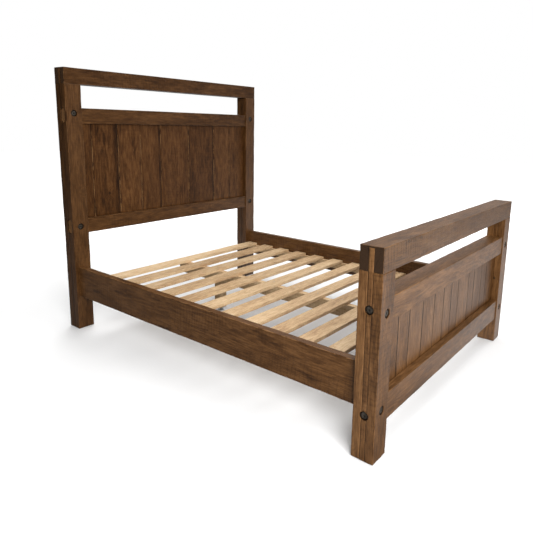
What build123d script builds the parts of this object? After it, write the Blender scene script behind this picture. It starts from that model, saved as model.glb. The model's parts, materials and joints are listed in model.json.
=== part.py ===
from build123d import *
from dataclasses import dataclass
import os

# A timber bed for a queen mattress: a tall headboard and a low footboard, each of two
# laminated posts, three rails and a boarded panel, joined by two hook-on side rails.
# Millimetres. +X is across the bed, +Y is towards the head, +Z is up. The origin is on
# the floor, in the middle of the bed. On both boards the show face looks towards -Y.

# ---- driving dimensions -------------------------------------------------------------
mattress_width = 1524.0
mattress_length = 2032.0
mattress_side_gap = 13.0
mattress_end_gap = 14.0
headboard_height = 1645.0
footboard_height = 900.0

post_size = 105.0
tongue_thickness = 23.0
tongue_cover = 8.0

headboard_top_rail_height = 95.0
headboard_rail_height = 94.0
headboard_rail_thickness = 70.0
headboard_gap = 140.0
headboard_low_rail_bottom = 628.0
headboard_panel_recess = 30.0
headboard_mid_bolt_rise = 14.0
headboard_low_bolt_rise = 0.0

footboard_top_rail_height = 102.0
footboard_mid_rail_height = 104.0
footboard_low_rail_height = 120.0
footboard_gap = 112.0
footboard_low_rail_bottom = 154.0
footboard_panel_recess = 46.0
footboard_mid_bolt_rise = -3.0
footboard_low_bolt_rise = 8.0
footboard_mid_side_bolt_rise = 12.0
footboard_low_side_bolt_rise = -12.0

rail_setback = 6.0
footboard_rail_back_gap = 4.0
plank_thickness = 20.0
plank_housing = 10.0
plank_gap = 1.6
plank_chamfer = 1.5
plank_tongue_length = 7.0
plank_tongue_thickness = 6.0
headboard_plank_shares = (69, 190, 176, 170, 258, 260, 172, 175)
footboard_plank_shares = (149, 110, 145, 136, 117, 104, 100, 159, 92, 128, 94, 136)

side_rail_height = 194.0
side_rail_thickness = 40.0
side_rail_bottom = 218.0
side_rail_inset = 25.0

through_tenon_thickness = 54.0
through_tenon_recess = 5.0
through_tenon_nose = 10.0
through_tenon_relief = 4.0
blind_tenon_thickness = 50.0
blind_tenon_web = 16.0
blind_tenon_shoulder = 15.0

bolt_diameter = 10.0
bolt_head_diameter = 28.0
bolt_head_height = 8.0
bolt_head_chamfer = 2.0
bolt_socket_width = 10.0
bolt_socket_depth = 5.0
counterbore_diameter = 39.0
counterbore_depth = 14.0
washer_diameter = 36.0
washer_thickness = 2.5
barrel_diameter = 16.0
barrel_length = 38.0
barrel_distance = 60.0
bolt_past_barrel = 4.0
insert_diameter = 16.0
insert_length = 18.0

hook_plate_length = 130.0
hook_plate_width = 18.0
hook_plate_thickness = 3.0
hook_plate_rise = 110.0
hook_thickness = 3.0
hook_height = 27.0
hook_reach = 12.0
hook_drop = 7.0
hook_spacing = 50.0
hook_pocket_depth = 16.0
hook_pocket_width = 10.0
plate_screw_spacing = 104.0

cleat_width = 25.0
cleat_height = 50.0
cleat_screw_rise = 12.0
cleat_screw_count = 7
slat_thickness = 20.0
slat_width = 90.0
slat_count = 12
deck_height = 320.0
beam_width = 40.0
beam_height = 80.0
leg_size = 60.0
leg_spread = 1200.0
leg_floor_gap = 25.0
leg_cheek_height = 70.0
leg_screw_spacing = 24.0
leg_screw_rise = 18.0

foot_pad_diameter = 44.0
foot_pad_thickness = 6.0
foot_stud_length = 54.0
foot_bore_spare = 30.0
glide_diameter = 60.0
glide_thickness = 3.0

screw_head_diameter = 9.0
screw_shank_diameter = 4.5
screw_length = 45.0
screw_head_height = 3.0
screw_point_length = 6.0
screw_socket_width = 3.0
screw_socket_depth = 2.0

# ---- clearances ---------------------------------------------------------------------
joint_gap = 0.2
thread_gap = 0.05
bolt_hole_gap = 0.25
housing_gap = 0.5
plank_tongue_gap = 0.4
plate_gap = 0.2
slot_gap = 0.5
slat_end_gap = 5.0
cleat_end_gap = 10.0
beam_end_gap = 20.0
stud_bore_gap = 1.0

# ---- sizes that follow --------------------------------------------------------------
inner_width = mattress_width + 2 * mattress_side_gap
inner_length = mattress_length + 2 * mattress_end_gap
half_width = inner_width / 2 + side_rail_thickness + side_rail_inset
half_length = inner_length / 2
post_inner_x = half_width - post_size
post_mid_x = half_width - post_size / 2
headboard_mid_rail_bottom = (headboard_height - headboard_top_rail_height
                             - headboard_gap - headboard_rail_height)
footboard_mid_rail_bottom = (footboard_height - footboard_top_rail_height
                             - footboard_gap - footboard_mid_rail_height)
footboard_rail_thickness = post_size - rail_setback - footboard_rail_back_gap
blind_tenon_length = post_size - counterbore_depth - blind_tenon_web
side_rail_mid_x = (inner_width + side_rail_thickness) / 2
hook_plate_mid_z = side_rail_bottom + hook_plate_rise
slat_bottom = deck_height - slat_thickness
cleat_bottom = slat_bottom - cleat_height
beam_bottom = slat_bottom - beam_height


@dataclass
class Rail:
    """One rail between two posts, with the places of its bolts."""

    name: str
    bottom: float
    height: float
    bolt_z: float
    side_bolt_z: float = 0.0

    @property
    def top(self):
        return self.bottom + self.height

    @property
    def mid(self):
        return self.bottom + self.height / 2


@dataclass
class Board:
    """The headboard or the footboard. Its show face is the plane y = face."""

    name: str
    face: float
    height: float
    top_rail_height: float
    rail_thickness: float
    panel_recess: float
    tenon_thickness: float
    tenon_length: float
    tenon_shoulder: float
    through: bool
    mid_rail: Rail
    low_rail: Rail
    plank_shares: tuple

    @property
    def rails(self):
        return (self.mid_rail, self.low_rail)

    @property
    def post_y(self):
        return self.face + post_size / 2

    @property
    def rail_y(self):
        return self.face + rail_setback + self.rail_thickness / 2

    @property
    def core_y(self):
        return (self.post_y - tongue_thickness / 2, self.post_y + tongue_thickness / 2)

    @property
    def tenon_back(self):
        return self.rail_y + self.tenon_thickness / 2

    @property
    def top_rail_bottom(self):
        return self.height - self.top_rail_height


def headboard_design():
    mid_z = headboard_mid_rail_bottom + headboard_rail_height / 2
    low_z = headboard_low_rail_bottom + headboard_rail_height / 2
    return Board(
        name="headboard",
        face=half_length,
        height=headboard_height,
        top_rail_height=headboard_top_rail_height,
        rail_thickness=headboard_rail_thickness,
        panel_recess=headboard_panel_recess,
        tenon_thickness=through_tenon_thickness,
        tenon_length=post_size - through_tenon_recess,
        tenon_shoulder=0.0,
        through=True,
        mid_rail=Rail("mid_rail", headboard_mid_rail_bottom, headboard_rail_height,
                      mid_z + headboard_mid_bolt_rise),
        low_rail=Rail("bottom_rail", headboard_low_rail_bottom, headboard_rail_height,
                      low_z + headboard_low_bolt_rise),
        plank_shares=headboard_plank_shares,
    )


def footboard_design():
    mid_z = footboard_mid_rail_bottom + footboard_mid_rail_height / 2
    low_z = footboard_low_rail_bottom + footboard_low_rail_height / 2
    return Board(
        name="footboard",
        face=-half_length - post_size,
        height=footboard_height,
        top_rail_height=footboard_top_rail_height,
        rail_thickness=footboard_rail_thickness,
        panel_recess=footboard_panel_recess,
        tenon_thickness=blind_tenon_thickness,
        tenon_length=blind_tenon_length,
        tenon_shoulder=blind_tenon_shoulder,
        through=False,
        mid_rail=Rail("mid_rail", footboard_mid_rail_bottom, footboard_mid_rail_height,
                      mid_z + footboard_mid_bolt_rise, mid_z + footboard_mid_side_bolt_rise),
        low_rail=Rail("bottom_rail", footboard_low_rail_bottom, footboard_low_rail_height,
                      low_z + footboard_low_bolt_rise, low_z + footboard_low_side_bolt_rise),
        plank_shares=footboard_plank_shares,
    )


# ---- simple solids ------------------------------------------------------------------
def block(x, y, z):
    """A box between two x values, two y values and two z values, in any order."""
    middle = ((x[0] + x[1]) / 2, (y[0] + y[1]) / 2, (z[0] + z[1]) / 2)
    return Pos(*middle) * Box(abs(x[1] - x[0]), abs(y[1] - y[0]), abs(z[1] - z[0]))


def rod(start, direction, diameter, length):
    """A round bar that starts at a point and runs along a direction."""
    base = Plane(origin=start, z_dir=direction)
    return extrude(base * Circle(diameter / 2), amount=length)


def tube(start, direction, outer, bore, length):
    return rod(start, direction, outer, length) - rod(start, direction, bore, length)


def write(shape, name):
    export_step(shape, f"parts/{name}.step")


# ---- fasteners ----------------------------------------------------------------------
def screw_shape(place, extra=0.0):
    """A countersunk wood screw, its head's top at the plane's origin, pointing along -z."""
    head = screw_head_diameter / 2 + extra
    shank = screw_shank_diameter / 2 + extra
    tip = screw_length + extra
    outline = Polyline(
        (0, 0),
        (head, 0),
        (shank, -screw_head_height),
        (shank, screw_point_length - tip),
        (0, -tip),
        close=True,
    )
    body = revolve(Plane.XZ * make_face(outline), Axis.Z)
    return place.location * body


def screw(place):
    socket = place * Rectangle(screw_socket_width, screw_socket_width)
    return screw_shape(place) - extrude(socket, amount=-screw_socket_depth)


def drill_screws(timber, places):
    for place in places:
        timber = timber - screw_shape(place, thread_gap)
    return timber


def bolt(seat, direction, length):
    """A socket-head bolt whose head stands on the seat; the shank runs along direction."""
    outward = Vector(*direction) * -1
    head_plane = Plane(origin=seat, z_dir=outward)
    head = extrude(head_plane * Circle(bolt_head_diameter / 2), amount=bolt_head_height)
    rim = head.faces().sort_by(Axis(seat, tuple(outward))).last.edges()
    head = chamfer(rim, bolt_head_chamfer)
    top_plane = Plane(origin=Vector(*seat) + outward * bolt_head_height, z_dir=outward)
    socket = extrude(top_plane * RegularPolygon(bolt_socket_width / 2, 6, major_radius=False),
                     amount=-bolt_socket_depth)
    return head + rod(seat, direction, bolt_diameter, length) - socket


def washer(floor_point, outward):
    """A washer that lies on a counterbore's floor."""
    bore = bolt_diameter + 2 * bolt_hole_gap
    return tube(floor_point, outward, washer_diameter, bore, washer_thickness)


def threaded_insert(start, direction):
    bore = bolt_diameter + 2 * thread_gap
    return tube(start, direction, insert_diameter, bore, insert_length)


# ---- where the bolts go -------------------------------------------------------------
def tenon_bolt_seats(board):
    """The floor of each counterbore on the show face, one for each rail end."""
    floor_y = board.face + counterbore_depth
    return [(side * post_mid_x, floor_y, rail.bolt_z) for rail in board.rails for side in (-1, 1)]


def side_bolt_seats(board):
    """The floor of each counterbore on the posts' outer sides, with the side's sign."""
    if board.through:
        return []
    floor_x = half_width - counterbore_depth
    return [(side, (side * floor_x, board.post_y, rail.side_bolt_z))
            for rail in board.rails for side in (-1, 1)]


def tenon_bolt_holes(board):
    hole = bolt_diameter + 2 * bolt_hole_gap
    holes = []
    for x, y, z in tenon_bolt_seats(board):
        holes.append(rod((x, board.face, z), (0, 1, 0), counterbore_diameter, counterbore_depth))
        holes.append(rod((x, y, z), (0, 1, 0), hole, board.tenon_back - y))
        holes.append(rod((x, board.tenon_back, z), (0, 1, 0), insert_diameter, insert_length))
    return holes


def side_bolt_length():
    reach = post_size - counterbore_depth + barrel_distance
    return reach + barrel_diameter / 2 + bolt_past_barrel


def barrel_place(board, side, z):
    """The middle of the barrel nut that a side bolt screws into."""
    return (side * (post_inner_x - barrel_distance), board.post_y, z)


def side_bolt_holes(board):
    hole = bolt_diameter + 2 * bolt_hole_gap
    holes = []
    for side, (x, y, z) in side_bolt_seats(board):
        inward = (-side, 0, 0)
        holes.append(rod((side * half_width, y, z), inward, counterbore_diameter, counterbore_depth))
        holes.append(rod((x, y, z), inward, hole, side_bolt_length() + housing_gap))
        nut_x, nut_y, nut_z = barrel_place(board, side, z)
        nut_end = nut_y - barrel_length / 2
        holes.append(rod((nut_x, nut_end, nut_z), (0, 1, 0), barrel_diameter, post_size))
    return holes


# ---- tenons -------------------------------------------------------------------------
def tenon_section(board, rail, x, extra):
    """The tenon's section at x, larger all round by extra. Through tenons have round ends."""
    thickness = board.tenon_thickness + 2 * extra
    height = rail.height - 2 * board.tenon_shoulder + 2 * extra
    place = Plane(origin=(x, board.rail_y, rail.mid), x_dir=(0, 1, 0), z_dir=(1, 0, 0))
    if board.through:
        return place * SlotOverall(height, thickness, rotation=90)
    return place * Rectangle(thickness, height)


def tenon(board, rail, side):
    start = side * post_inner_x
    if not board.through:
        return extrude(tenon_section(board, rail, start, 0), amount=side * board.tenon_length)
    full_length = board.tenon_length - through_tenon_nose
    body = extrude(tenon_section(board, rail, start, 0), amount=side * full_length)
    nose_start = start + side * full_length
    nose_section = tenon_section(board, rail, nose_start, -through_tenon_relief)
    return body + extrude(nose_section, amount=side * through_tenon_nose)


def mortise(board, rail, side):
    depth = post_size if board.through else board.tenon_length + joint_gap
    return extrude(tenon_section(board, rail, side * post_inner_x, joint_gap), amount=side * depth)


# ---- side rail hooks ----------------------------------------------------------------
def hook_bottoms():
    return [hook_plate_mid_z + shift - hook_height / 2 for shift in (-hook_spacing / 2, hook_spacing / 2)]


def hook_plate(side, end):
    """The plate let into a side rail's end, with two hooks that reach into the post."""
    x = side * side_rail_mid_x
    face = end * half_length
    x_span = (x - hook_plate_width / 2, x + hook_plate_width / 2)
    z_span = (hook_plate_mid_z - hook_plate_length / 2, hook_plate_mid_z + hook_plate_length / 2)
    plate = block(x_span, (face - end * hook_plate_thickness, face), z_span)
    hook_x = (x - hook_thickness / 2, x + hook_thickness / 2)
    neck_end = face + end * (hook_plate_thickness + slot_gap)
    for bottom in hook_bottoms():
        neck = block(hook_x, (face, neck_end), (bottom + hook_drop, bottom + hook_height))
        beak = block(hook_x, (neck_end, face + end * hook_reach), (bottom, bottom + hook_height))
        plate = plate + neck + beak
    return drill_screws(plate, plate_screw_places(side, end, -1))


def slot_plate(side, end):
    """The plate let into a post's face, with two slots that the hooks drop into."""
    x = side * side_rail_mid_x
    face = end * half_length
    x_span = (x - hook_plate_width / 2, x + hook_plate_width / 2)
    z_span = (hook_plate_mid_z - hook_plate_length / 2, hook_plate_mid_z + hook_plate_length / 2)
    y_span = (face, face + end * hook_plate_thickness)
    plate = block(x_span, y_span, z_span)
    slot_half = hook_thickness / 2 + slot_gap
    for bottom in hook_bottoms():
        slot_bottom = bottom + hook_drop
        slot_top = bottom + hook_height + hook_drop + slot_gap
        plate = plate - block((x - slot_half, x + slot_half), y_span, (slot_bottom, slot_top))
    return drill_screws(plate, plate_screw_places(side, end, 1))


def plate_recess(side, end, into):
    """The shallow recess for a plate: into the post (1) or into the rail's end (-1)."""
    x = side * side_rail_mid_x
    face = end * half_length
    half = hook_plate_width / 2 + plate_gap
    reach = hook_plate_length / 2 + plate_gap
    return block((x - half, x + half), (face, face + into * end * hook_plate_thickness),
                 (hook_plate_mid_z - reach, hook_plate_mid_z + reach))


def hook_pocket(side, end):
    """The pocket in a post behind its slot plate, where the hooks' beaks sit."""
    x = side * side_rail_mid_x
    face = end * half_length
    bottoms = hook_bottoms()
    top = max(bottoms) + hook_height + hook_drop + slot_gap
    return block((x - hook_pocket_width / 2, x + hook_pocket_width / 2),
                 (face, face + end * hook_pocket_depth), (min(bottoms) - slot_gap, top))


def plate_screw_places(side, end, into):
    """Screws of a slot plate (into the post, 1) or of a hook plate (into the rail, -1)."""
    x = side * side_rail_mid_x
    head_y = end * half_length
    if into < 0:
        outward = (0, end, 0)
    else:
        outward = (0, -end, 0)
    return [Plane(origin=(x, head_y, hook_plate_mid_z + shift), z_dir=outward)
            for shift in (-plate_screw_spacing / 2, plate_screw_spacing / 2)]


# ---- posts, rails and panels --------------------------------------------------------
def panel_groove_y(board):
    front = board.face + board.panel_recess
    return (front - housing_gap / 2, front + plank_thickness + housing_gap / 2)


def post(board, side, end):
    """A post of three laminations; the middle one rises as a tongue into the top rail."""
    x_span = (side * post_inner_x, side * half_width)
    core_low, core_high = board.core_y
    cheek_z = (glide_thickness, board.top_rail_bottom)
    core_z = (glide_thickness, board.height - tongue_cover)
    groove_x = (side * post_inner_x, side * (post_inner_x + plank_housing))
    groove_z = (board.low_rail.top - plank_housing, board.mid_rail.bottom + plank_housing)
    cutters = [mortise(board, rail, side) for rail in board.rails]
    cutters.append(block(groove_x, panel_groove_y(board), groove_z))
    cutters.append(plate_recess(side, end, 1))
    cutters.append(hook_pocket(side, end))
    cutters += tenon_bolt_holes(board)
    cutters += side_bolt_holes(board)
    cutters += [screw_shape(place, thread_gap) for place in plate_screw_places(side, end, 1)]
    layers = [
        block(x_span, (board.face, core_low), cheek_z),
        block(x_span, (core_low, core_high), core_z),
        block(x_span, (core_high, board.face + post_size), cheek_z),
    ]
    return Compound(children=[solid for layer in layers for solid in layer.cut(*cutters).solids()])


def top_rail(board):
    """The rail that runs over both posts, slotted at its ends for the posts' tongues."""
    core_low, core_high = board.core_y
    rail = block((-half_width, half_width), (board.face, board.face + post_size),
                 (board.top_rail_bottom, board.height))
    for side in (-1, 1):
        slot_x = (side * (post_inner_x - joint_gap), side * half_width)
        slot_y = (core_low - joint_gap, core_high + joint_gap)
        slot_z = (board.top_rail_bottom, board.height - tongue_cover)
        rail = rail - block(slot_x, slot_y, slot_z)
    return rail


def framed_rail(board, rail):
    """A rail tenoned between the posts, grooved for the panel's planks."""
    front = board.face + rail_setback
    body = block((-post_inner_x, post_inner_x), (front, front + board.rail_thickness),
                 (rail.bottom, rail.top))
    if rail is board.mid_rail:
        groove_z = (rail.bottom, rail.bottom + plank_housing)
    else:
        groove_z = (rail.top - plank_housing, rail.top)
    for side in (-1, 1):
        body = body + tenon(board, rail, side)
    groove_reach = post_inner_x + plank_housing
    body = body - block((-groove_reach, groove_reach), panel_groove_y(board), groove_z)
    for cutter in tenon_bolt_holes(board) + side_bolt_holes(board):
        body = body - cutter
    return body


def plank_section(left, right, front, first, last):
    """A plank seen from above: eased show edges, a groove on its left, a tongue on its right."""
    back = front + plank_thickness
    middle = front + plank_thickness / 2
    tongue = plank_tongue_thickness / 2
    groove = tongue + plank_tongue_gap
    groove_end = left + plank_tongue_length - plank_gap + plank_tongue_gap
    points = [(left + plank_chamfer, front), (right - plank_chamfer, front), (right, front + plank_chamfer)]
    if not last:
        points += [(right, middle - tongue), (right + plank_tongue_length, middle - tongue)]
        points += [(right + plank_tongue_length, middle + tongue), (right, middle + tongue)]
    points += [(right, back), (left, back)]
    if not first:
        points += [(left, middle + groove), (groove_end, middle + groove)]
        points += [(groove_end, middle - groove), (left, middle - groove)]
    points.append((left, front + plank_chamfer))
    return make_face(Polyline(*points, close=True))


def planks(board):
    """The panel's planks from left to right, housed in the rails and in the posts."""
    front = board.face + board.panel_recess
    bottom = board.low_rail.top - plank_housing + housing_gap
    top = board.mid_rail.bottom + plank_housing - housing_gap
    scale = 2 * post_inner_x / sum(board.plank_shares)
    last_index = len(board.plank_shares) - 1
    made = []
    seam = -post_inner_x
    for index, share in enumerate(board.plank_shares):
        next_seam = seam + share * scale
        first = index == 0
        last = index == last_index
        left = seam - plank_housing + housing_gap if first else seam + plank_gap / 2
        right = next_seam + plank_housing - housing_gap if last else next_seam - plank_gap / 2
        section = Pos(0, 0, bottom) * plank_section(left, right, front, first, last)
        made.append(extrude(section, amount=top - bottom, dir=(0, 0, 1)))
        seam = next_seam
    return made


# ---- side rails and the slatted deck ------------------------------------------------
def spread(count, span):
    """Evenly spaced places, centred on zero."""
    return [span * (index / (count - 1) - 0.5) for index in range(count)]


def cleat_half_length():
    return half_length - cleat_end_gap


def cleat_screw_places(side):
    x = side * (inner_width / 2 - cleat_width)
    z = cleat_bottom + cleat_screw_rise
    span = 2 * (cleat_half_length() - slat_width)
    return [Plane(origin=(x, y, z), z_dir=(-side, 0, 0)) for y in spread(cleat_screw_count, span)]


def slat_places():
    return spread(slat_count, mattress_length - slat_width)


def slat_screw_x():
    return inner_width / 2 - cleat_width / 2


def slat_screw_places(y):
    """The three screws of one slat: into each cleat and into the middle beam."""
    return [Plane(origin=(x, y, deck_height), z_dir=(0, 0, 1)) for x in (-slat_screw_x(), 0, slat_screw_x())]


def slat_screws_all():
    return [place for y in slat_places() for place in slat_screw_places(y)]


def leg_screw_places(y):
    x = leg_size - beam_width / 2
    first_z = beam_bottom + leg_screw_rise
    return [Plane(origin=(x, y, first_z + step * leg_screw_spacing), z_dir=(1, 0, 0)) for step in (0, 1)]


def leg_places():
    return {"foot": -leg_spread / 2, "head": leg_spread / 2}


def side_rail(side):
    rail = block((side * inner_width / 2, side * (inner_width / 2 + side_rail_thickness)),
                 (-half_length, half_length), (side_rail_bottom, side_rail_bottom + side_rail_height))
    for end in (-1, 1):
        rail = rail - plate_recess(side, end, -1)
        rail = drill_screws(rail, plate_screw_places(side, end, -1))
    return drill_screws(rail, cleat_screw_places(side))


def cleat(side):
    strip = block((side * (inner_width / 2 - cleat_width), side * inner_width / 2),
                  (-cleat_half_length(), cleat_half_length()), (cleat_bottom, slat_bottom))
    strip = drill_screws(strip, cleat_screw_places(side))
    return drill_screws(strip, [place for place in slat_screws_all() if place.origin.X * side > 0])


def slat(y):
    half = inner_width / 2 - slat_end_gap
    board = block((-half, half), (y - slat_width / 2, y + slat_width / 2), (slat_bottom, deck_height))
    return drill_screws(board, slat_screw_places(y))


def middle_beam():
    half = mattress_length / 2 - beam_end_gap + mattress_end_gap
    beam = block((-beam_width / 2, beam_width / 2), (-half, half), (beam_bottom, slat_bottom))
    beam = drill_screws(beam, [place for place in slat_screws_all() if place.origin.X == 0])
    for y in leg_places().values():
        beam = drill_screws(beam, leg_screw_places(y))
    return beam


def support_leg(y):
    """A leg under the beam, with a cheek that laps the beam's side and a bored lower end."""
    y_span = (y - leg_size / 2, y + leg_size / 2)
    outer_x = leg_size - beam_width / 2
    leg = block((-beam_width / 2, outer_x), y_span, (leg_floor_gap, beam_bottom))
    leg = leg + block((beam_width / 2, outer_x), y_span, (beam_bottom, beam_bottom + leg_cheek_height))
    x = leg_bore_x()
    leg = leg - rod((x, y, leg_floor_gap), (0, 0, 1), insert_diameter, insert_length)
    bore = bolt_diameter + 2 * stud_bore_gap
    leg = leg - rod((x, y, leg_floor_gap), (0, 0, 1), bore, foot_stud_length + foot_bore_spare)
    return drill_screws(leg, leg_screw_places(y))


def leg_bore_x():
    return (leg_size - beam_width) / 2


def levelling_foot(y):
    """A round pad on a threaded stud that screws into the leg's insert."""
    x = leg_bore_x()
    pad = rod((x, y, 0), (0, 0, 1), foot_pad_diameter, foot_pad_thickness)
    pad = fillet(pad.edges().filter_by(GeomType.CIRCLE).sort_by(Axis.Z).last, foot_pad_thickness / 3)
    return pad + rod((x, y, foot_pad_thickness), (0, 0, 1), bolt_diameter, foot_stud_length)


# ---- groups of identical fasteners --------------------------------------------------
def post_bolts(boards):
    made = []
    for board in boards:
        for x, y, z in tenon_bolt_seats(board):
            seat_y = y - washer_thickness
            length = board.tenon_back + insert_length - housing_gap - seat_y
            made.append(bolt((x, seat_y, z), (0, 1, 0), length))
        for side, (x, y, z) in side_bolt_seats(board):
            seat_x = x + side * washer_thickness
            made.append(bolt((seat_x, y, z), (-side, 0, 0), side_bolt_length() + washer_thickness))
    return made


def bolt_washers(boards):
    made = []
    for board in boards:
        made += [washer(seat, (0, -1, 0)) for seat in tenon_bolt_seats(board)]
        made += [washer(seat, (side, 0, 0)) for side, seat in side_bolt_seats(board)]
    return made


def barrel_nuts(board):
    made = []
    for side, (x, y, z) in side_bolt_seats(board):
        nut_x, nut_y, nut_z = barrel_place(board, side, z)
        nut = rod((nut_x, nut_y - barrel_length / 2, nut_z), (0, 1, 0), barrel_diameter, barrel_length)
        hole = rod((nut_x - barrel_diameter, nut_y, nut_z), (1, 0, 0), bolt_diameter + 2 * thread_gap,
                   2 * barrel_diameter)
        made.append(nut - hole)
    return made


def threaded_inserts(boards):
    made = []
    for board in boards:
        made += [threaded_insert((x, board.tenon_back, z), (0, 1, 0)) for x, y, z in tenon_bolt_seats(board)]
    for y in leg_places().values():
        made.append(threaded_insert((leg_bore_x(), y, leg_floor_gap), (0, 0, 1)))
    return made


def wood_screws():
    places = slat_screws_all()
    for side in (-1, 1):
        places += cleat_screw_places(side)
        for end in (-1, 1):
            places += plate_screw_places(side, end, 1) + plate_screw_places(side, end, -1)
    for y in leg_places().values():
        places += leg_screw_places(y)
    return [screw(place) for place in places]


def post_glides(boards):
    return [rod((side * post_mid_x, board.post_y, 0), (0, 0, 1), glide_diameter, glide_thickness)
            for board in boards for side in (-1, 1)]


def group(solids):
    return Compound(children=[solid.solid() for solid in solids])


def build():
    headboard = headboard_design()
    footboard = footboard_design()
    boards = (headboard, footboard)
    side_names = {-1: "left", 1: "right"}
    for board, end in ((headboard, 1), (footboard, -1)):
        for side, side_name in side_names.items():
            write(post(board, side, end), f"{board.name}_{side_name}_post")
        write(top_rail(board), f"{board.name}_top_rail")
        for rail in board.rails:
            write(framed_rail(board, rail), f"{board.name}_{rail.name}")
        for number, plank in enumerate(planks(board), start=1):
            write(plank, f"{board.name}_plank_{number:02d}")
    for side, side_name in side_names.items():
        write(side_rail(side), f"{side_name}_side_rail")
        write(cleat(side), f"{side_name}_slat_cleat")
    for number, y in enumerate(slat_places(), start=1):
        write(slat(y), f"slat_{number:02d}")
    write(middle_beam(), "middle_beam")
    for place_name, y in leg_places().items():
        write(support_leg(y), f"{place_name}_support_leg")
        write(levelling_foot(y), f"{place_name}_levelling_foot")
    write(group(post_bolts(boards)), "post_bolts")
    write(group(bolt_washers(boards)), "bolt_washers")
    write(group(barrel_nuts(footboard)), "barrel_nuts")
    write(group(threaded_inserts(boards)), "threaded_inserts")
    corners = [(side, end) for side in (-1, 1) for end in (-1, 1)]
    write(group([hook_plate(side, end) for side, end in corners]), "rail_hook_plates")
    write(group([slot_plate(side, end) for side, end in corners]), "post_slot_plates")
    write(group(wood_screws()), "wood_screws")
    write(group(post_glides(boards)), "post_glides")


os.makedirs("parts", exist_ok=True)
build()
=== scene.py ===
import json
import math

import bmesh
import bpy
import numpy as np
from mathutils import Matrix, Vector


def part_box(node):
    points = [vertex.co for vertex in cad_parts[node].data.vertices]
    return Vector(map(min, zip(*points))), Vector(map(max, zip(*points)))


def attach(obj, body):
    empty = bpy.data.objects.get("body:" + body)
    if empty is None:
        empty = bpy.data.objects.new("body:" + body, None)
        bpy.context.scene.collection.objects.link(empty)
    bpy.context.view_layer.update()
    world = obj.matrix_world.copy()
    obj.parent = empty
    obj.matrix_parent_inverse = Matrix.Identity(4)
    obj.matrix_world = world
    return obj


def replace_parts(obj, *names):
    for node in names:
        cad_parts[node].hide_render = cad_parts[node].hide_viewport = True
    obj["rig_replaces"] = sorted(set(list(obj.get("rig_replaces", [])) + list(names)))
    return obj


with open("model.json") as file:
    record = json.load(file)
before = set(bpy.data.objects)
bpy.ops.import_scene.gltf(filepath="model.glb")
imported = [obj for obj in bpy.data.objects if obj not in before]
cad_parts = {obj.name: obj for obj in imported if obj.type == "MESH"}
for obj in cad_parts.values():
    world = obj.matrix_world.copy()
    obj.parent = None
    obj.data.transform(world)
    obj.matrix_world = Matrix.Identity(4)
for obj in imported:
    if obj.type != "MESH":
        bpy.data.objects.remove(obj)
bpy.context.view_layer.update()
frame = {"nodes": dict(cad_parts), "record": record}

MM = 0.001

# ------------------------------------------------------------------ the bed's pieces
SIDES = ("left", "right")
ENDS = ("headboard", "footboard")
SIDE_RAILS = [f"{side}_side_rail" for side in SIDES]
HEADBOARD_PLANKS = sorted(name for name in frame["nodes"] if name.startswith("headboard_plank"))
FOOTBOARD_PLANKS = sorted(name for name in frame["nodes"] if name.startswith("footboard_plank"))
SLATS = sorted(name for name in frame["nodes"] if name.startswith("slat_"))
HEARTWOOD = {
    "headboard_plank_02": 55 * MM,
    "headboard_plank_04": 40 * MM,
    "headboard_plank_06": 30 * MM,
}
CLEATS = [f"{side}_slat_cleat" for side in SIDES]
LEGS = ["foot_support_leg", "head_support_leg"]
SLOT = {row["node"]: row["material_slot"] for row in frame["record"]["subparts"]}
X, Y, Z = 0, 1, 2
FAR = 9.0  # metres, well past the bed on every side
TONGUE_THICKNESS = 23 * MM
JOINT_OVERRUN = 12 * MM
JUST_INSIDE = 0.1 * MM
WELD_DISTANCE = 2e-6
made_timber = []

# ------------------------------------------------------------------ worn timber, as a mesh

# How fast the wear of a surface changes: wave lengths along the grain and across it.
SLOW_WEAR = (600 * MM, 180 * MM)
ARRIS_WEAR = (220 * MM, 60 * MM)
SAW_PATCH = (260 * MM, 150 * MM)
SAW_STROKE = (11 * MM, 900 * MM)
DENTS = (35 * MM, 35 * MM)
NICKS = (22 * MM, 22 * MM)
# How deep the wear goes, and how far the radius of an arris may leave the one asked for.
LEAST_LOSS, MOST_LOSS = 0.05 * MM, 1.6 * MM
FACE_LOSS, DENT_LOSS = 0.22 * MM, 0.10 * MM
LEAST_ARRIS, MOST_ARRIS = 0.45, 2.4
ARRIS_ANGLES = (45, 36, 27, 18, 9, 0)
SHARP_FROM = math.radians(38)
# How far the heart of the log is from the middle of a board, and the tone of a tongue.
HEART_NEAR, HEART_FAR = 40 * MM, 130 * MM
PALE_TONE = 1.7


def grid_lines(low, high, arris, spacing):
    """Places along one side of a board, close together round both of its arrises."""
    turn = [arris * (1 - math.tan(math.radians(angle))) for angle in ARRIS_ANGLES]
    turn += [arris * 1.5, arris * 2.3]
    least = 2.2 * turn[-1]
    if high - low < least:
        turn = [place * (high - low) / least for place in turn]
    count = max(1, math.ceil((high - low - 2 * turn[-1]) / spacing))
    middle = np.linspace(low + turn[-1], high - turn[-1], count + 1)
    near = [low + place for place in turn[:-1]]
    far = [high - place for place in reversed(turn[:-1])]
    return np.concatenate([near, middle, far])


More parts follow.
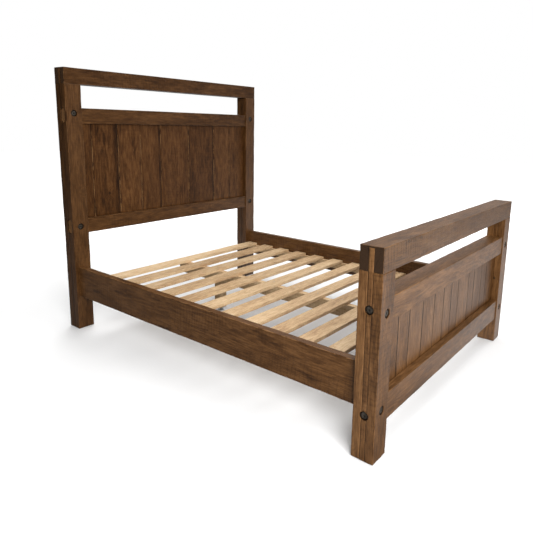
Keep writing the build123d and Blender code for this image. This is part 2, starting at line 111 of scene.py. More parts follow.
def box_skin(lines):
    """The corners and the four-sided faces of a closed box with grid lines on all its sides."""
    counts = [len(line) for line in lines]
    faces = []
    for axis in (X, Y, Z):
        across, along = (axis + 1) % 3, (axis + 2) % 3
        first, second = np.meshgrid(
            np.arange(counts[across] - 1), np.arange(counts[along] - 1), indexing="ij"
        )
        for end in (0, counts[axis] - 1):
            ring = []
            for step, rise in ((0, 0), (1, 0), (1, 1), (0, 1)):
                place = [None, None, None]
                place[axis] = np.full(first.shape, end)
                place[across] = first + step
                place[along] = second + rise
                ring.append(((place[X] * counts[Y] + place[Y]) * counts[Z] + place[Z]).ravel())
            faces.append(np.stack(ring if end else ring[::-1], axis=1))
    used, faces = np.unique(np.concatenate(faces), return_inverse=True)
    corner = [used // (counts[Y] * counts[Z]), used // counts[Z] % counts[Y], used % counts[Z]]
    points = np.stack([lines[axis][corner[axis]] for axis in (X, Y, Z)], axis=1)
    return points, faces.reshape(-1, 4)


def by_grain(grain, along, across):
    """A value for each axis: along for the axis of the grain, across for the other two."""
    return [along if axis == grain else across for axis in (X, Y, Z)]


def ripple(points, grain, lengths, seed, waves=20):
    """Smooth noise of about -1 to 1 at points, from seeded waves of the given lengths."""
    rng = np.random.default_rng(seed)
    turns = rng.normal(size=(waves, 3)) * (2 * math.pi) / np.array(by_grain(grain, *lengths))
    starts = rng.uniform(0, 2 * math.pi, waves)
    return np.sin(points @ turns.T + starts).sum(axis=1) / math.sqrt(waves)


def worn_skin(low, high, grain, arris, spacing, saw, seed):
    """A board's surface: rounded and nicked arrises, an uneven face and shallow saw marks."""
    steps = by_grain(grain, *spacing)
    lines = [grid_lines(low[axis], high[axis], arris, steps[axis]) for axis in (X, Y, Z)]
    points, faces = box_skin(lines)
    wander = ripple(points, grain, ARRIS_WEAR, seed)
    nick = ripple(points, grain, NICKS, seed + 1)
    radius = arris * (1 + 0.45 * wander + 1.1 * np.clip(nick - 0.9, 0, 1))
    radius = np.clip(radius, LEAST_ARRIS * arris, MOST_ARRIS * arris)
    radius = np.minimum(radius, 0.45 * np.min(high - low))[:, None]
    inner = np.clip(points, low + radius, high - radius)
    out = points - inner
    out /= np.linalg.norm(out, axis=1)[:, None]
    depth = FACE_LOSS * (1.6 + ripple(points, grain, SLOW_WEAR, seed + 2))
    depth += DENT_LOSS * (1 + ripple(points, grain, DENTS, seed + 3))
    if saw:
        patch = np.clip(0.5 + ripple(points, grain, SAW_PATCH, seed + 5), 0, 1)
        upright = 1 - np.abs(out[:, Z])
        stroke = 0.8 + ripple(points, grain, SAW_STROKE, seed + 4, waves=9)
        depth += saw * patch * upright * stroke
    depth = np.clip(depth, LEAST_LOSS, MOST_LOSS)[:, None]
    return inner + out * (radius - depth), faces


def new_mesh_object(name, points, faces):
    mesh = bpy.data.meshes.new(name)
    mesh.from_pydata([], [], [])
    mesh.vertices.add(len(points))
    mesh.vertices.foreach_set("co", np.asarray(points, np.float32).ravel())
    mesh.loops.add(faces.size)
    mesh.loops.foreach_set("vertex_index", faces.astype(np.int32).ravel())
    mesh.polygons.add(len(faces))
    mesh.polygons.foreach_set("loop_start", np.arange(0, faces.size, 4, dtype=np.int32))
    mesh.update(calc_edges=True)
    made = bpy.data.objects.new(name, mesh)
    bpy.context.scene.collection.objects.link(made)
    return made


def cad_solid(node, low, high):
    """The closed surfaces of a CAD node that lie between two values of y."""
    shape = bmesh.new()
    shape.from_mesh(frame["nodes"][node].data)
    shape.faces.ensure_lookup_table()
    away = []
    for face in shape.faces:
        inside = face.calc_center_median().y - face.normal.y * JUST_INSIDE
        if not low < inside < high:
            away.append(face)
    bmesh.ops.delete(shape, geom=away, context="FACES")
    bmesh.ops.remove_doubles(shape, verts=shape.verts, dist=WELD_DISTANCE)
    mesh = bpy.data.meshes.new(node + "_solid")
    shape.to_mesh(mesh)
    shape.free()
    made = bpy.data.objects.new(node + "_solid", mesh)
    bpy.context.scene.collection.objects.link(made)
    return made


def cut_to(piece, solid):
    """Keeps only what piece and solid share, so the piece has every joint and hole of the solid."""
    cut = piece.modifiers.new("joints", "BOOLEAN")
    cut.operation = "INTERSECT"
    cut.solver = "MANIFOLD"
    cut.object = solid
    bpy.context.view_layer.update()
    ready = piece.evaluated_get(bpy.context.evaluated_depsgraph_get())
    mesh = bpy.data.meshes.new_from_object(ready)
    piece.modifiers.clear()
    piece.data = mesh
    bpy.data.objects.remove(solid)


def describe_board(piece, low, high, grain, seed, heartwood, tongue):
    """Gives each corner of a board's mesh its place in the log, its arris distance and its tone.

    heartwood is the width of a dark strip along the right-hand edge. The board is pale above the
    height tongue, where it rises past its neighbours into a rail.
    """
    rng = np.random.default_rng(seed + 50)
    count = len(piece.data.vertices)
    points = np.zeros(count * 3, np.float32)
    piece.data.vertices.foreach_get("co", points)
    points = points.reshape(-1, 3)
    others = [axis for axis in (X, Y, Z) if axis != grain]
    reach = rng.uniform(HEART_NEAR, HEART_FAR)
    swing = rng.uniform(-math.pi, math.pi)
    heart = (low + high) / 2
    heart[others[0]] += reach * math.cos(swing)
    heart[others[1]] += reach * math.sin(swing)
    place = points - heart
    in_log = np.stack([place[:, grain], place[:, others[0]], place[:, others[1]]], axis=1)
    gaps = np.sort(np.minimum(points - low, high - points), axis=1)
    strip = np.clip(1 - (high[X] - points[:, X]) / max(heartwood, MM), 0, 1)
    fibre = np.zeros((count, 3), np.float32)
    fibre[:, grain] = 1
    values = {
        "in_log": ("FLOAT_VECTOR", "vector", in_log),
        "fibre": ("FLOAT_VECTOR", "vector", fibre),
        "arris": ("FLOAT", "value", gaps[:, 1]),
        "sunk": ("FLOAT", "value", gaps[:, 0]),
        "heartwood": ("FLOAT", "value", strip if heartwood else np.zeros(count)),
        "board": ("FLOAT", "value", np.full(count, seed * 0.37)),
        "tone": ("FLOAT", "value", np.where(points[:, Z] > tongue, PALE_TONE, rng.uniform(0, 1))),
    }
    for label, (kind, field, data) in values.items():
        made = piece.data.attributes.new(label, kind, "POINT")
        made.data.foreach_set(field, np.asarray(data, np.float32).ravel())


def timber(node, finish, grain, arris, spacing, saw=0.0, layers=(-FAR, FAR), heartwood=0.0,
           capped=False):
    """A node's timber as a worn mesh in its place, one board for each layer of its lamination.

    A board runs on past a glue line before it is cut to its solid, so only its outer arrises wear.
    A capped board runs on past its top too, where another piece sits tight on it.
    A board between two others is a tongue above the shoulder, which is the top of the one before.
    heartwood is the width of a dark strip along the board's right-hand edge.
    """
    boards = []
    last_layer = len(layers) - 2
    shoulder = FAR
    for number, (first, last) in enumerate(zip(layers[:-1], layers[1:])):
        seed = 1000 + 10 * len(made_timber) + number
        solid = cad_solid(node, first, last)
        corners = np.array([corner.co for corner in solid.data.vertices])
        low, high = corners.min(axis=0), corners.max(axis=0)
        tongue = shoulder if 0 < number < last_layer else FAR
        shoulder = high[Z]
        low[Y] -= JOINT_OVERRUN if number > 0 else 0
        high[Y] += JOINT_OVERRUN if number < last_layer else 0
        high[Z] += JOINT_OVERRUN if capped else 0
        points, faces = worn_skin(low, high, grain, arris, spacing, saw, seed)
        board = new_mesh_object(node + "_timber", points, faces)
        cut_to(board, solid)
        describe_board(board, low, high, grain, seed, heartwood, tongue)
        boards.append(board)
    piece = boards[0]
    if len(boards) > 1:
        chosen = {"active_object": piece, "selected_editable_objects": boards}
        with bpy.context.temp_override(**chosen):
            bpy.ops.object.join()
    piece.name = node + "_timber"
    piece.data.polygons.foreach_set("use_smooth", [True] * len(piece.data.polygons))
    piece.data.set_sharp_from_angle(angle=SHARP_FROM)
    piece.data.materials.clear()
    piece.data.materials.append(finish)
    made_timber.append(piece)
    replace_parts(piece, node)
    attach(piece, "frame")


# ------------------------------------------------------------------ shader helpers


def join(tree, value, socket):
    if isinstance(value, bpy.types.NodeSocket):
        tree.links.new(value, socket)
    else:
        socket.default_value = value


def node(tree, kind, sockets, **settings):
    """A shader node with its settings, and its sockets joined to outputs or set to values."""
    made = tree.nodes.new("ShaderNode" + kind)
    for name, value in settings.items():
        setattr(made, name, value)
    for name, value in sockets.items():
        join(tree, value, made.inputs[name])
    return made


def sums(tree, operation, *values):
    made = node(tree, "Math", dict(enumerate(values)), operation=operation)
    return made.outputs[0]


def weighted(tree, start, parts):
    """start plus each value times its weight, for parts of (value, weight)."""
    total = start
    for value, weight in parts:
        total = sums(tree, "MULTIPLY_ADD", value, weight, total)
    return total


def spread(tree, value, low, high, first=0.0, last=1.0):
    """A smooth step of value, from first at low to last at high."""
    sockets = {"Value": value, "From Min": low, "From Max": high, "To Min": first, "To Max": last}
    return node(tree, "MapRange", sockets, interpolation_type="SMOOTHSTEP").outputs[0]


def scaled(tree, vector, factors):
    return node(tree, "VectorMath", {0: vector, 1: factors}, operation="MULTIPLY").outputs[0]


def noise(tree, vector, board, scale=1.0, detail=2.0, rough=0.5):
    """Noise that differs from board to board."""
    sockets = {"Vector": vector, "W": board, "Scale": scale, "Detail": detail, "Roughness": rough}
    return node(tree, "TexNoise", sockets, noise_dimensions="4D").outputs["Fac"]


def mixed(tree, factor, first, second):
    """Two colours mixed by a mask."""
    made = tree.nodes.new("ShaderNodeMix")
    made.data_type = "RGBA"
    join(tree, factor, made.inputs[0])
    join(tree, first, made.inputs[6])
    join(tree, second, made.inputs[7])
    return made.outputs[2]


def colour_ramp(tree, value, stops):
    """A colour for value, through stops of (place, red, green, blue)."""
    ramp = tree.nodes.new("ShaderNodeValToRGB")
    stages = ramp.color_ramp.elements
    while len(stages) < len(stops):
        stages.new(0.5)
    for stage, (place, *colour) in zip(stages, stops):
        stage.position = place
        stage.color = (*colour, 1)
    join(tree, value, ramp.inputs[0])
    return ramp.outputs[0]


def effect(name, inputs, outputs):
    """An empty shader group with named sockets, and its inputs and outputs by name."""
    tree = bpy.data.node_groups.new(name, "ShaderNodeTree")
    for label in inputs:
        vector = label in ("In Log", "Fibre")
        kind = "NodeSocketVector" if vector else "NodeSocketFloat"
        tree.interface.new_socket(label, in_out="INPUT", socket_type=kind)
    for label in outputs:
        tree.interface.new_socket(label, in_out="OUTPUT", socket_type="NodeSocketFloat")
    start = tree.nodes.new("NodeGroupInput")
    end = tree.nodes.new("NodeGroupOutput")
    return tree, start.outputs, end.inputs


def use(tree, group, **sockets):
    """A shader group placed in a material, with its sockets joined or set."""
    made = tree.nodes.new("ShaderNodeGroup")
    made.node_tree = group
    for name, value in sockets.items():
        join(tree, value, made.inputs[name.replace("_", " ").title()])
    return made.outputs


# ------------------------------------------------------------------ effects that materials share


def make_figure():
    """The log's figure: growth rings bent round knots, long fibres, pores and uneven stain."""
    names = ("Rings", "Fibres", "Hairs", "Pores", "Mottle", "Knot")
    tree, given, out = effect("wood_figure", ("In Log", "Board", "Ring Width", "Knots"), names)
    log, board = given["In Log"], given["Board"]
    cells = {"Vector": scaled(tree, log, (5.2, 6.6, 6.6)), "W": board, "Scale": 1.0}
    knots = node(tree, "TexVoronoi", cells, voronoi_dimensions="4D")
    near = sums(tree, "DIVIDE", knots.outputs["Distance"], given["Knots"])
    bend = spread(tree, near, 0.6, 5.0, 1.0, 0.0)
    across = scaled(tree, log, (0.0, 1.0, 1.0))
    radius = node(tree, "VectorMath", {0: across}, operation="LENGTH").outputs["Value"]
    slow = noise(tree, scaled(tree, log, (1.3, 7.0, 7.0)), board, detail=3.0)
    sway = sums(tree, "MULTIPLY_ADD", slow, 0.075, radius)
    swirl = sums(tree, "MULTIPLY_ADD", bend, 0.016, sway)
    fine = noise(tree, scaled(tree, log, (9.0, 160.0, 160.0)), board, detail=2.0)
    ragged = sums(tree, "MULTIPLY_ADD", fine, 0.0022, swirl)
    turns = sums(tree, "DIVIDE", ragged, given["Ring Width"])
    phase = sums(tree, "FRACT", turns)
    rise = spread(tree, phase, 0.15, 0.86)
    fall = spread(tree, phase, 0.88, 1.0, 1.0, 0.0)
    join(tree, sums(tree, "MULTIPLY", rise, fall), out["Rings"])
    coarse = noise(tree, scaled(tree, log, (7.0, 230.0, 230.0)), board, detail=4.0, rough=0.65)
    join(tree, coarse, out["Fibres"])
    hairs = noise(tree, scaled(tree, log, (16.0, 760.0, 760.0)), board, detail=3.0, rough=0.6)
    join(tree, spread(tree, hairs, 0.36, 0.64), out["Hairs"])
    dashes = noise(tree, scaled(tree, log, (38.0, 900.0, 900.0)), board, detail=2.0, rough=0.6)
    join(tree, spread(tree, dashes, 0.56, 0.68), out["Pores"])
    cloud = noise(tree, scaled(tree, log, (2.6, 13.0, 13.0)), board, detail=4.0, rough=0.62)
    join(tree, cloud, out["Mottle"])
    join(tree, spread(tree, near, 0.72, 1.12, 1.0, 0.0), out["Knot"])
    return tree


def make_saw_marks():
    """Straight marks across the grain, in patches, from the mill's blade."""
    names = ("Marks", "Patch", "Upright")
    tree, given, out = effect("saw_marks", ("In Log", "Board", "Pitch"), names)
    log, board = given["In Log"], given["Board"]
    slant = node(tree, "VectorMath", {0: log, 1: (1.0, 0.06, 0.06)}, operation="DOT_PRODUCT")
    steps = sums(tree, "DIVIDE", slant.outputs["Value"], given["Pitch"])
    drift = noise(tree, scaled(tree, log, (9.0, 5.0, 5.0)), board, detail=2.0)
    turns = sums(tree, "MULTIPLY", sums(tree, "MULTIPLY_ADD", drift, 2.6, steps), 2 * math.pi)
    wave = sums(tree, "MULTIPLY_ADD", sums(tree, "SINE", turns), 0.5, 0.5)
    parts = node(tree, "SeparateXYZ", {0: scaled(tree, log, (0.0, 4.0, 4.0))})
    line = {0: steps, 1: parts.outputs[1], 2: parts.outputs[2]}
    bands = noise(tree, node(tree, "CombineXYZ", line).outputs[0], board, scale=1.6, detail=3.0)
    ridges = sums(tree, "ADD", sums(tree, "MULTIPLY", wave, 0.45), bands)
    join(tree, spread(tree, ridges, 0.78, 0.94), out["Marks"])
    patch = noise(tree, scaled(tree, log, (2.4, 6.0, 6.0)), board, detail=1.0)
    join(tree, spread(tree, patch, 0.40, 0.60), out["Patch"])
    facing = node(tree, "SeparateXYZ", {0: node(tree, "NewGeometry", {}).outputs["Normal"]})
    level = sums(tree, "ABSOLUTE", facing.outputs["Z"])
    join(tree, spread(tree, level, 0.3, 0.9, 1.0, 0.12), out["Upright"])
    return tree


def make_edge_wear():
    """Where hands and knocks have rubbed an arris, and the dark line that dirt leaves beside it."""
    tree, given, out = effect(
        "edge_wear", ("In Log", "Board", "Arris", "Width"), ("Rubbed", "Grime")
    )
    log, board = given["In Log"], given["Board"]
    knocks = noise(tree, scaled(tree, log, (14.0, 45.0, 45.0)), board, detail=5.0, rough=0.7)
    reach = sums(tree, "MULTIPLY", spread(tree, knocks, 0.38, 0.70, 0.0, 2.2), given["Width"])
    left = sums(tree, "DIVIDE", given["Arris"], sums(tree, "ADD", reach, 0.0004))
    join(tree, spread(tree, left, 0.55, 1.25, 1.0, 0.0), out["Rubbed"])
    beside = sums(tree, "DIVIDE", given["Arris"], given["Width"])
    shade = spread(tree, beside, 0.8, 6.0, 1.0, 0.0)
    cloud = noise(tree, scaled(tree, log, (5.0, 20.0, 20.0)), board, detail=3.0)
    join(tree, sums(tree, "MULTIPLY", shade, spread(tree, cloud, 0.35, 0.65)), out["Grime"])
    return tree


def make_end_grain():
    """Sawn ends: which way the surface faces, and cracks that run out from the heart."""
    tree, given, out = effect("end_grain", ("In Log", "Board", "Fibre"), ("End", "Cracks"))
    log, board = given["In Log"], given["Board"]
    facing = node(tree, "NewGeometry", {}).outputs["Normal"]
    turned = node(tree, "VectorMath", {0: facing, 1: given["Fibre"]}, operation="DOT_PRODUCT")
    square_on = sums(tree, "ABSOLUTE", turned.outputs["Value"])
    end = spread(tree, square_on, 0.55, 0.85)
    join(tree, end, out["End"])
    parts = node(tree, "SeparateXYZ", {0: log})
    angle = sums(tree, "ARCTAN2", parts.outputs[1], parts.outputs[2])
    across = scaled(tree, log, (0.0, 1.0, 1.0))
    radius = node(tree, "VectorMath", {0: across}, operation="LENGTH").outputs["Value"]
    polar = node(tree, "CombineXYZ", {0: angle, 1: radius, 2: 0.0}).outputs[0]
    splits = noise(tree, scaled(tree, polar, (26.0, 9.0, 1.0)), board, detail=2.0)
    join(tree, sums(tree, "MULTIPLY", spread(tree, splits, 0.60, 0.66), end), out["Cracks"])
    return tree


def make_distress():
    """Knocks and finishing marks: fine specks, dark pools of stain and light scrapes."""
    tree, given, out = effect("distress", ("In Log", "Board"), ("Specks", "Pools", "Scrapes"))
    log, board = given["In Log"], given["Board"]
    specks = noise(tree, scaled(tree, log, (17.0, 88.0, 88.0)), board, detail=5.0, rough=0.75)
    join(tree, spread(tree, specks, 0.37, 0.63), out["Specks"])
    pools = noise(tree, scaled(tree, log, (3.0, 12.0, 12.0)), board, detail=5.0, rough=0.6)
    join(tree, spread(tree, pools, 0.53, 0.68), out["Pools"])
    long = noise(tree, scaled(tree, log, (28.0, 120.0, 120.0)), board, detail=3.0, rough=0.6)
    cluster = noise(tree, scaled(tree, log, (3.5, 9.0, 9.0)), board, detail=1.0)
    drawn, where = spread(tree, long, 0.62, 0.72), spread(tree, cluster, 0.5, 0.62)
    join(tree, sums(tree, "MULTIPLY", drawn, where), out["Scrapes"])
    return tree


def make_scuffs():
    """Blotches, and the fine scratches where a surface rubs bright."""
    tree, given, out = effect("steel_scuffs", ("In Log", "Size"), ("Blotch", "Scratch"))
    sized = {0: given["In Log"], "Scale": given["Size"]}
    place = node(tree, "VectorMath", sized, operation="SCALE").outputs[0]
    blotch = node(tree, "TexNoise", {"Vector": place, "Scale": 1.0, "Detail": 4.0})
    join(tree, blotch.outputs["Fac"], out["Blotch"])
    drawn = scaled(tree, place, (1.0, 9.0, 2.0))
    scratch = node(tree, "TexNoise", {"Vector": drawn, "Scale": 6.0, "Detail": 5.0})
    join(tree, spread(tree, scratch.outputs["Fac"], 0.48, 0.64), out["Scratch"])
    return tree


figure = make_figure()
saw_marks = make_saw_marks()
edge_wear = make_edge_wear()
end_grain = make_end_grain()
distress = make_distress()
scuffs = make_scuffs()

# ------------------------------------------------------------------ finishes

# Stains, each a ramp of (place, red, green, blue) from the darkest tone to the palest.
# The walnut ramps are lighter and darker copies for different parts: partly the wood's own tone,
# partly painted light and shade, paler on the footboard that faces the lamps and darker on the
# headboard and side rails.
WALNUT = ((0.0, 0.013, 0.0046, 0.0012), (0.35, 0.036, 0.0140, 0.0036),
          (0.62, 0.060, 0.0250, 0.0070), (1.0, 0.106, 0.047, 0.0155))
DARK_WALNUT = ((0.0, 0.009, 0.0031, 0.0008), (0.35, 0.033, 0.0122, 0.0030),
               (0.62, 0.063, 0.0250, 0.0070), (1.0, 0.120, 0.052, 0.017))
SIDE_WALNUT = ((0.0, 0.020, 0.0074, 0.0019), (0.35, 0.055, 0.0220, 0.0058),
               (0.62, 0.091, 0.0385, 0.0112), (1.0, 0.155, 0.071, 0.024))
OPEN_WALNUT = ((0.0, 0.022, 0.0088, 0.0024), (0.35, 0.078, 0.0335, 0.0100),
               (0.62, 0.131, 0.0590, 0.0195), (1.0, 0.222, 0.109, 0.041))
DIM_WALNUT = tuple((place, *(0.68 * part for part in colour)) for place, *colour in OPEN_WALNUT)
PINE = ((0.0, 0.20, 0.110, 0.050), (0.35, 0.42, 0.26, 0.135),
        (0.62, 0.56, 0.38, 0.21), (1.0, 0.70, 0.52, 0.32))
RUBBED_OAK = (0.27, 0.140, 0.058)
RUBBED_PINE = (0.62, 0.44, 0.26)
SAWN_END = (0.046, 0.024, 0.012)
TENON_END = (0.24, 0.120, 0.048)
DARK_END = (0.065, 0.034, 0.017)
PINE_END = (0.34, 0.20, 0.10)
# The dark of cracks, also used for the painted shade in recesses and in the seams between boards.
CRACK_AND_SHADE_COLOUR = (0.0045, 0.0028, 0.0016)
SAW_PITCH = 0.021
KNOT_SIZE = 0.062


def attribute(tree, name, field):
    """What describe_board stored at each corner of the mesh."""
    made = tree.nodes.new("ShaderNodeAttribute")
    made.attribute_name = name
    return made.outputs[field]


def new_material(name):
    made = bpy.data.materials.new(name)
    made.use_nodes = True
    tree = made.node_tree
    return made, tree, tree.nodes["Principled BSDF"]


def stained_timber(name, stain, end, rubbed=RUBBED_OAK, ring=0.006, wear=1.6, rub=0.4, marks=0.5,
                   seam_shade=0.0, streaks=1.0, pools=1.0, grime=0.14, varied=0.20, rough=0.42,
                   dark_strip=0.0, mirror=0.5):
    """Stained and clear-coated timber.

    stain is a ramp from the darkest colour to the palest, end is the colour of end grain and
    rubbed that of worn arrises. ring is the width of a growth ring in metres. wear and seam_shade
    are the widths of the worn arris and of the dark line of painted shade beside a board, along its
    seams, in millimetres.
    The others set how strong each effect is, and mirror is the shader's specular level.
    """
    made, tree, shader = new_material(name)
    shader.inputs["Specular IOR Level"].default_value = mirror
    log = attribute(tree, "in_log", "Vector")
    fibre = attribute(tree, "fibre", "Vector")
    board = attribute(tree, "board", "Fac")
    tone = attribute(tree, "tone", "Fac")
    arris = attribute(tree, "arris", "Fac")
    sunk = attribute(tree, "sunk", "Fac")
    grain = use(tree, figure, in_log=log, board=board, ring_width=ring, knots=KNOT_SIZE)
    saw = use(tree, saw_marks, in_log=log, board=board, pitch=SAW_PITCH)
    edge = use(tree, edge_wear, in_log=log, board=board, arris=arris, width=wear * MM)
    sawn = use(tree, end_grain, in_log=log, board=board, fibre=fibre)
    knocks = use(tree, distress, in_log=log, board=board)

    cut = sums(tree, "MULTIPLY", sums(tree, "MULTIPLY", saw["Marks"], saw["Patch"]), saw["Upright"])
    strip = weighted(tree, attribute(tree, "heartwood", "Fac"), [(grain["Mottle"], 0.8)])
    paleness = weighted(tree, 0.18 - 0.5 * varied, [
        (spread(tree, grain["Mottle"], 0.30, 0.70), 0.34),
        (spread(tree, grain["Fibres"], 0.32, 0.68), 0.18 * streaks),
        (grain["Hairs"], 0.17 * streaks),
        (grain["Rings"], -0.17 * streaks),
        (grain["Pores"], -0.09 * streaks),
        (tone, varied),
        (knocks["Specks"], 0.34),
        (knocks["Pools"], -0.34 * pools),
        (cut, -0.34 * marks),
        (edge["Grime"], -grime),
        (knocks["Scrapes"], 0.30),
        (spread(tree, strip, 0.48, 1.0), -0.34 * dark_strip),
    ])
    colour = colour_ramp(tree, paleness, stain)
    knot_colour = (*[part * 0.5 for part in stain[0][1:]], 1)
    colour = mixed(tree, sums(tree, "MULTIPLY", grain["Knot"], 0.80), colour, knot_colour)
    late_wood = (*[part * 0.45 for part in end], 1)
    sawn_colour = mixed(tree, grain["Rings"], (*end, 1), late_wood)
    colour = mixed(tree, sawn["End"], colour, sawn_colour)
    colour = mixed(tree, sums(tree, "MULTIPLY", edge["Rubbed"], rub), colour, (*rubbed, 1))
    shade = sums(tree, "MULTIPLY", sawn["Cracks"], 0.8)
    # Painted shade: faces sunk more than a few mm inside a board's outer box, in mortises, slots
    # and holes, are darkened nearly to the crack colour.
    recess_shade = spread(tree, sunk, 1.2 * MM, 3.5 * MM, 0.0, 0.88)
    shade = sums(tree, "MAXIMUM", shade, recess_shade)
    # Painted shade: a dark line along every arris of a board, for the shadow in the seams where it
    # meets its neighbours.
    if seam_shade:
        line = spread(tree, arris, seam_shade * 0.45 * MM, seam_shade * MM, 0.92, 0.0)
        shade = sums(tree, "MAXIMUM", shade, line)
    colour = mixed(tree, shade, colour, (*CRACK_AND_SHADE_COLOUR, 1))
    join(tree, colour, shader.inputs["Base Color"])

    dull = weighted(tree, rough, [
        (grain["Fibres"], 0.22),
        (sawn["End"], 0.22),
        (edge["Rubbed"], 0.10),
        (grain["Mottle"], -0.10),
    ])
    join(tree, dull, shader.inputs["Roughness"])

    height = weighted(tree, 0.0, [
        (grain["Fibres"], 0.7),
        (grain["Pores"], -0.35),
        (grain["Hairs"], 0.35),
        (grain["Rings"], 0.22),
        (cut, -1.1 * marks),
        (grain["Knot"], -0.3),
        (knocks["Scrapes"], -0.5),
        (knocks["Specks"], 0.35),
        (sawn["Cracks"], -1.5),
    ])
    bump = node(tree, "Bump", {"Height": height, "Strength": 0.7, "Distance": 0.45 * MM})
    join(tree, bump.outputs[0], shader.inputs["Normal"])
    return made


def scuffed_surface(name, dark, light, rough, size=60.0, metal=1.0):
    """Steel or felt with a blotchy tone and fine marks that rub bright."""
    made, tree, shader = new_material(name)
    place = node(tree, "TexCoord", {}).outputs["Object"]
    marks = use(tree, scuffs, in_log=place, size=size)
    blotch = spread(tree, marks["Blotch"], 0.35, 0.65)
    colour = mixed(tree, blotch, (*dark, 1), (*light, 1))
    bright = tuple(min(1.0, part * 1.7) for part in light)
    colour = mixed(tree, sums(tree, "MULTIPLY", marks["Scratch"], 0.5), colour, (*bright, 1))
    join(tree, colour, shader.inputs["Base Color"])
    shader.inputs["Metallic"].default_value = metal
    dull = weighted(tree, rough, [(blotch, -0.16), (marks["Scratch"], -0.08)])
    join(tree, dull, shader.inputs["Roughness"])
    height = weighted(tree, marks["Blotch"], [(marks["Scratch"], 0.5)])
    bump = node(tree, "Bump", {"Height": height, "Strength": 0.4, "Distance": 0.2 * MM})
    join(tree, bump.outputs[0], shader.inputs["Normal"])
    return made


finishes = {
    "headboard_posts": stained_timber("headboard_posts", WALNUT, DARK_END, marks=0.2, mirror=0.42),
    "headboard_top": stained_timber("headboard_top", WALNUT, DARK_END, marks=0.3, mirror=0.32),
    "headboard_rails": stained_timber(
        "headboard_rails", WALNUT, TENON_END, marks=0.4, mirror=0.32),
    "headboard_planks": stained_timber(
        "headboard_planks", DARK_WALNUT, TENON_END, wear=2.6, rub=0.7, seam_shade=1.6, marks=0.15,
        pools=1.3, grime=0.40, varied=0.26, dark_strip=1.0, mirror=0.24),
    "footboard_posts": stained_timber(
        "footboard_posts", OPEN_WALNUT, DARK_END, marks=0.35, pools=0.8),
    "footboard_top": stained_timber(
        "footboard_top", DIM_WALNUT, SAWN_END, marks=0.75, streaks=1.3),
    "footboard_rails": stained_timber(
        "footboard_rails", OPEN_WALNUT, SAWN_END, marks=0.55, streaks=1.3),
    "footboard_planks": stained_timber(
        "footboard_planks", OPEN_WALNUT, SAWN_END, seam_shade=4.4, rub=0.1, varied=0.26, marks=0.15),
    "side_rails": stained_timber(
        "side_rails", SIDE_WALNUT, DARK_END, wear=2.8, rub=0.6, pools=1.6, marks=0.4, mirror=0.4),
    "plain_timber": stained_timber(
        "plain_timber", PINE, PINE_END, rubbed=RUBBED_PINE, ring=0.0045, wear=0.8,
        marks=0.35, pools=0.3, rough=0.55),
    "bolt_steel": scuffed_surface(
        "bolt_steel", (0.018, 0.015, 0.012), (0.060, 0.050, 0.040), 0.62, metal=0.25),
    "washer_steel": scuffed_surface(
        "washer_steel", (0.008, 0.0065, 0.0055), (0.030, 0.025, 0.021), 0.66, metal=0.25),
    "zinc_steel": scuffed_surface("zinc_steel", (0.36, 0.35, 0.33), (0.60, 0.59, 0.56), 0.42),
    "glide_felt": scuffed_surface(
        "glide_felt", (0.065, 0.046, 0.033), (0.150, 0.110, 0.082), 0.95, size=900.0, metal=0.0),
    "levelling_foot": scuffed_surface(
        "levelling_foot", (0.33, 0.33, 0.32), (0.55, 0.55, 0.54), 0.44, size=120.0),
}

# ------------------------------------------------------------------ the timber pieces

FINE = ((6 * MM, 6 * MM))
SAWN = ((3 * MM, 6 * MM))
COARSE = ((12 * MM, 9 * MM))

for end in ENDS:
    post_low, post_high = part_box(f"{end}_left_post")
    middle = (post_low[Y] + post_high[Y]) / 2
    layers = (-FAR, middle - TONGUE_THICKNESS / 2, middle + TONGUE_THICKNESS / 2, FAR)
    for side in SIDES:
        name = f"{end}_{side}_post"
        timber(name, finishes[f"{end}_posts"], Z, 2.6 * MM, FINE, layers=layers, capped=True)
timber("headboard_top_rail", finishes["headboard_top"], X, 2.6 * MM, FINE, saw=0.20 * MM)
timber("footboard_top_rail", finishes["footboard_top"], X, 2.6 * MM, SAWN, saw=0.24 * MM)
for end in ENDS:
    for place in ("mid", "bottom"):
        timber(f"{end}_{place}_rail", finishes[f"{end}_rails"], X, 2.4 * MM, FINE, saw=0.15 * MM)
for name in SIDE_RAILS:
    timber(name, finishes["side_rails"], Y, 3.0 * MM, FINE, saw=0.15 * MM)
for name in HEADBOARD_PLANKS:
    strip = HEARTWOOD.get(name, 0.0)
    timber(name, finishes["headboard_planks"], Z, 2.2 * MM, FINE, saw=0.10 * MM, heartwood=strip)
for name in FOOTBOARD_PLANKS:
    timber(name, finishes["footboard_planks"], Z, 3.0 * MM, FINE, saw=0.10 * MM)
for name in SLATS:
    timber(name, finishes["plain_timber"], X, 1.6 * MM, COARSE)
for name in CLEATS + ["middle_beam"]:
    timber(name, finishes["plain_timber"], Y, 1.8 * MM, COARSE)
for name in LEGS:
    timber(name, finishes["plain_timber"], Z, 1.8 * MM, FINE)

replaced = {row for piece in made_timber for row in piece["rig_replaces"]}
for name, part in frame["nodes"].items():
    if name not in replaced:
        for holder in part.material_slots:
            holder.material = finishes[SLOT[name]]

# ------------------------------------------------------------------ floor, light and camera


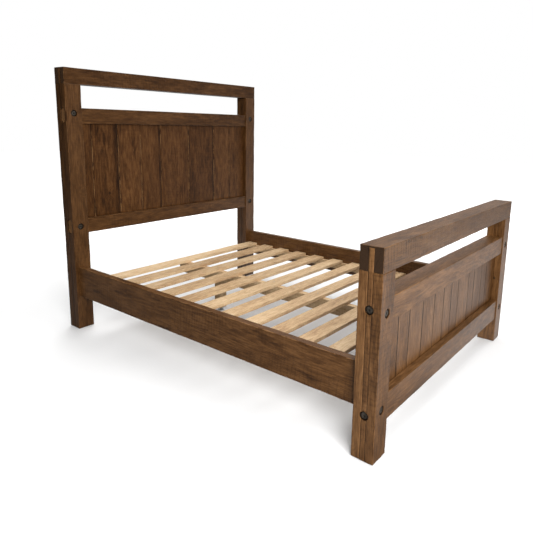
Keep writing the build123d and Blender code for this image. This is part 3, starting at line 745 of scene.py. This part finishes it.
def studio_floor():
    """A pale floor that fades to white far away and gives the boards a sheen on their right."""
    bpy.ops.mesh.primitive_plane_add(size=40)
    floor = bpy.context.object
    floor.name = "studio_floor"
    made, tree, shader = new_material("studio_floor")
    place = node(tree, "TexCoord", {}).outputs["Object"]
    grain = node(tree, "TexNoise", {"Vector": place, "Scale": 1.2, "Detail": 3.0})
    shade = mixed(tree, grain.outputs["Fac"], (0.84, 0.84, 0.84, 1), (0.87, 0.87, 0.87, 1))
    seen = node(tree, "LightPath", {}).outputs["Is Camera Ray"]
    dim = mixed(tree, seen, (0.22, 0.22, 0.22, 1), shade)
    join(tree, dim, shader.inputs["Base Color"])
    shader.inputs["Emission Color"].default_value = (1, 1, 1, 1)
    away = node(tree, "VectorMath", {0: place}, operation="LENGTH").outputs["Value"]
    glow = sums(tree, "MULTIPLY", seen, spread(tree, away, 2.0, 5.5, 0.07, 1.0))
    # Painted reflection: the floor glows in glossy rays only, strongest toward +x and near the bed,
    # so the boards' clear coat shows a bright sheen that no lamp gives.
    mirrored = node(tree, "LightPath", {}).outputs["Is Glossy Ray"]
    toward_window = node(tree, "SeparateXYZ", {0: place}).outputs["X"]
    near = sums(tree, "MULTIPLY", mirrored, spread(tree, away, 4.5, 9.0, 1.0, 0.0))
    sheen = sums(tree, "MULTIPLY", near, spread(tree, toward_window, -0.8, 0.8, 0.0, 1.0))
    join(tree, sums(tree, "ADD", glow, sheen), shader.inputs["Emission Strength"])
    shader.inputs["Roughness"].default_value = 0.9
    shader.inputs["Specular IOR Level"].default_value = 0.0
    floor.data.materials.append(made)


def soft_box(name, place, aim, size, power):
    """A rectangular lamp at place that faces aim and shows in no reflection."""
    lamp = bpy.data.lights.new(name, "AREA")
    lamp.shape = "RECTANGLE"
    lamp.size, lamp.size_y = size
    lamp.energy = power
    made = bpy.data.objects.new(name, lamp)
    bpy.context.scene.collection.objects.link(made)
    made.location = place
    made.rotation_euler = (Vector(aim) - Vector(place)).to_track_quat("-Z", "Y").to_euler()
    made.visible_glossy = False


def studio_air():
    """A white room to the camera, and darker walls behind it for what the clear coat mirrors."""
    world = bpy.data.worlds.new("studio")
    bpy.context.scene.world = world
    world.use_nodes = True
    tree = world.node_tree
    air = tree.nodes["Background"]
    way = node(tree, "TexCoord", {}).outputs["Generated"]
    bright_side = (0.93, 0.13, 0.34)
    toward = node(tree, "VectorMath", {0: way, 1: bright_side}, operation="DOT_PRODUCT")
    glow = spread(tree, toward.outputs["Value"], 0.62, 0.96, 0.03, 0.72)
    seen = node(tree, "LightPath", {}).outputs["Is Camera Ray"]
    join(tree, sums(tree, "MAXIMUM", glow, seen), air.inputs["Strength"])
    air.inputs["Color"].default_value = (1, 1, 1, 1)


def studio_camera():
    place = Vector((-2.4852, -1.978, 1.3333))
    turn, tilt, roll = 0.9238, -0.1925, 0.0225
    flat = math.cos(tilt)
    ahead = Vector((math.sin(turn) * flat, math.cos(turn) * flat, math.sin(tilt)))
    level = Vector((math.cos(turn), -math.sin(turn), 0))
    above = level.cross(ahead)
    right = math.cos(roll) * level + math.sin(roll) * above
    up = math.cos(roll) * above - math.sin(roll) * level
    lens = bpy.data.cameras.new("camera")
    lens.sensor_width = 36
    lens.lens = 34.465
    lens.shift_x = -0.0595
    lens.shift_y = -0.0777
    made = bpy.data.objects.new("camera", lens)
    bpy.context.scene.collection.objects.link(made)
    made.matrix_world = Matrix((
        (right.x, up.x, -ahead.x, place.x),
        (right.y, up.y, -ahead.y, place.y),
        (right.z, up.z, -ahead.z, place.z),
        (0, 0, 0, 1),
    ))
    bpy.context.scene.camera = made


studio_floor()
studio_air()
soft_box("window", (5.0, -2.2, 2.4), (0.2, -0.6, 0.5), (4.6, 3.4), 110)
soft_box("ceiling", (0.2, -0.4, 4.8), (0, -0.2, 0), (4.5, 4.5), 170)
soft_box("rear", (1.6, 3.6, 4.0), (0, 0.8, 0.4), (3.0, 2.4), 130)
soft_box("fill", (-3.2, -4.0, 2.4), (-0.2, -0.4, 0.5), (2.6, 2.2), 370)
studio_camera()
bpy.context.scene.view_settings.view_transform = "Standard"
